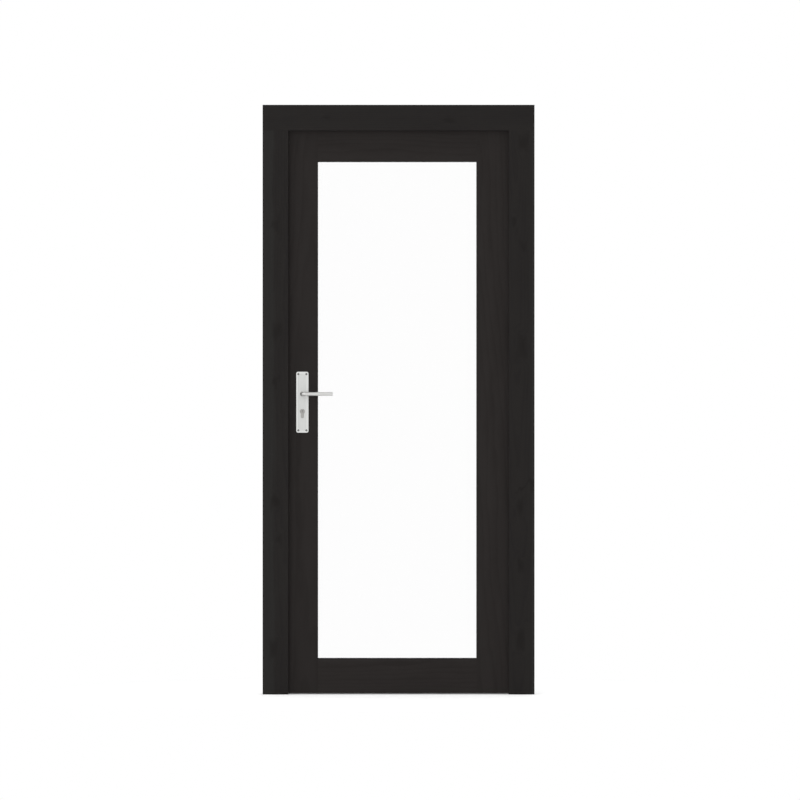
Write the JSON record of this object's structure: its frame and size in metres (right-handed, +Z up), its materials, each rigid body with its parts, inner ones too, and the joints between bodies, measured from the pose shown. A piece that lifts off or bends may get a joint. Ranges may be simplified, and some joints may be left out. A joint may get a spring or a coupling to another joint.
{
  "type": "wooden door",
  "caption": "Glazed timber door leaf hung in a rebated timber frame, with lever handles, mortice lock and butt hinges.",
  "frame": {"origin": "on the floor, at the middle of the frame's width and on the leaf's mid-plane", "axes": "+Z up, +X from the lock side to the hinge side, +Y away from the side that the leaf is seen from in the picture, the way the leaf opens"},
  "size_m": [0.98, 0.164, 2.125],
  "materials": {
    "stained_wood": "satin stain, near black",
    "clear_glass": "clear",
    "satin_aluminium": "satin brushed",
    "satin_steel": "satin",
    "zinc_steel": "zinc plated",
    "nickel_brass": "nickel plated",
    "seal_rubber": "matte",
    "black_sealant": "matte",
    "spacer_aluminium": "mill",
    "block_plastic": "matte",
    "bush_nylon": "matte"
  },
  "bodies": {
    "frame": {"head": "stained_wood", "jamb_lock": "stained_wood", "jamb_hinge": "stained_wood", "seal_head": "seal_rubber", "seal_lock": "seal_rubber", "seal_hinge": "seal_rubber", "corner_screws": "zinc_steel", "strike_plate": "satin_steel", "strike_screws": "zinc_steel", "hinge_frame_screws": "satin_steel", "hinge_flap_frame_bottom": "satin_steel", "hinge_pin_bottom": "satin_steel", "hinge_flap_frame_middle": "satin_steel", "hinge_pin_middle": "satin_steel", "hinge_flap_frame_top": "satin_steel", "hinge_pin_top": "satin_steel"},
    "leaf": {"hinge_leaf_screws": "satin_steel", "stile_lock": "stained_wood", "stile_hinge": "stained_wood", "rail_top": "stained_wood", "rail_bottom": "stained_wood", "bead_lock": "stained_wood", "bead_hinge": "stained_wood", "bead_top": "stained_wood", "bead_bottom": "stained_wood", "pane_outer": "clear_glass", "pane_inner": "clear_glass", "spacer_bar": "spacer_aluminium", "edge_sealant": "black_sealant", "glazing_tape_outer": "black_sealant", "glazing_tape_inner": "black_sealant", "glazing_blocks": "block_plastic", "lock_case": "zinc_steel", "lock_cover": "zinc_steel", "lock_faceplate": "satin_steel", "faceplate_screws": "zinc_steel", "cylinder_body": "nickel_brass", "cylinder_screw": "zinc_steel", "lever_bush_outer": "bush_nylon", "lever_bush_inner": "bush_nylon", "backplate_outer": "satin_aluminium", "backplate_inner": "satin_aluminium", "plate_screws_outer": "zinc_steel", "plate_screws_inner": "zinc_steel", "hinge_flap_leaf_bottom": "satin_steel", "hinge_flap_leaf_middle": "satin_steel", "hinge_flap_leaf_top": "satin_steel"},
    "handle": {"lever_outer": "satin_aluminium", "lever_inner": "satin_aluminium", "spindle": "zinc_steel", "follower": "zinc_steel", "lever_grub_screws": "zinc_steel"},
    "latch": {"latch_bolt": "nickel_brass"},
    "deadbolt": {"dead_bolt": "nickel_brass"},
    "cylinder": {"cylinder_plug_outer": "nickel_brass", "cylinder_plug_inner": "nickel_brass", "cylinder_cam": "zinc_steel"}
  },
  "joints": [
    {"name": "leaf_swing", "type": "hinge", "parent": "frame", "child": "leaf", "pos_m": [0.40875, 0.034, 1.03], "axis": [0, 0, -1], "range_deg": [0, 110]},
    {"name": "handle_turn", "type": "hinge", "parent": "leaf", "child": "handle", "pos_m": [-0.347, 0, 1.083], "axis": [0, 1, 0], "range_deg": [0, 40], "stiffness_Nm_per_rad": 1.5, "springref_deg": -20.05},
    {"name": "latch_slide", "type": "slide", "parent": "leaf", "child": "latch", "axis": [1, 0, 0], "range_m": [0, 0.012]},
    {"name": "cylinder_turn", "type": "hinge", "parent": "leaf", "child": "cylinder", "pos_m": [-0.347, 0, 1.02], "axis": [0, 1, 0], "range_deg": [0, 360]},
    {"name": "deadbolt_slide", "type": "slide", "parent": "leaf", "child": "deadbolt", "axis": [-1, 0, 0], "range_m": [0, 0.02]}
  ],
  "couplings": [
    {"joint": "latch_slide", "follows": "handle_turn", "m_per_rad": 0.01718},
    {"joint": "cylinder_turn", "follows": "deadbolt_slide", "rad_per_m": 314.15}
  ]
}
